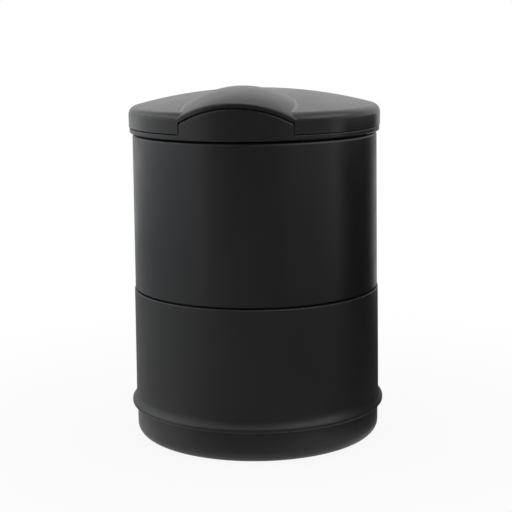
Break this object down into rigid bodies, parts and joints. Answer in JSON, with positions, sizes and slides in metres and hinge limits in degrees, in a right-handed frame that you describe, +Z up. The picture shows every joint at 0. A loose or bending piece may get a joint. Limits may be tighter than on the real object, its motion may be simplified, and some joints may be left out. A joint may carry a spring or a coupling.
{
  "type": "car ashtray",
  "caption": "Black cup-holder car ashtray with a twist-off collar, a spring-shut hooded lid, a metal ash bowl and a rubber foot.",
  "frame": {"origin": "middle of the foot's underside", "axes": "+Z up along the body, the hood faces -Y, the hinge is at +Y"},
  "size_m": [0.0763, 0.0762, 0.1054],
  "materials": {
    "foot_rubber": "matte",
    "sleeve_plastic": "fine satin",
    "body_plastic": "satin",
    "collar_plastic": "satin",
    "lid_plastic": "satin",
    "seal_rubber": "matte",
    "pressed_steel": "brushed",
    "pin_steel": "drawn"
  },
  "bodies": {
    "housing": {"base_foot": "foot_rubber", "lower_sleeve": "sleeve_plastic", "upper_body": "body_plastic", "ash_bowl": "pressed_steel"},
    "cover": {"collar_ring": "collar_plastic", "collar_seal": "seal_rubber", "cigarette_rest": "pressed_steel", "rest_rivets": "pin_steel", "hinge_pin": "pin_steel", "hinge_spring": "pin_steel"},
    "lid": {"lid_cover": "lid_plastic", "lid_liner": "pressed_steel", "liner_screws": "pin_steel", "lid_seal": "seal_rubber"}
  },
  "joints": [
    {"name": "collar_twist", "type": "hinge", "parent": "housing", "child": "cover", "pos_m": [0, 0, 0.0916], "axis": [0, 0, 1], "range_deg": [0, 30]},
    {"name": "lid_hinge", "type": "hinge", "parent": "cover", "child": "lid", "pos_m": [0, 0.0349, 0.094], "axis": [-1, 0, 0], "range_deg": [0, 90], "stiffness_Nm_per_rad": 0.006, "springref_deg": -100.27, "deforming": ["hinge_spring"]}
  ]
}
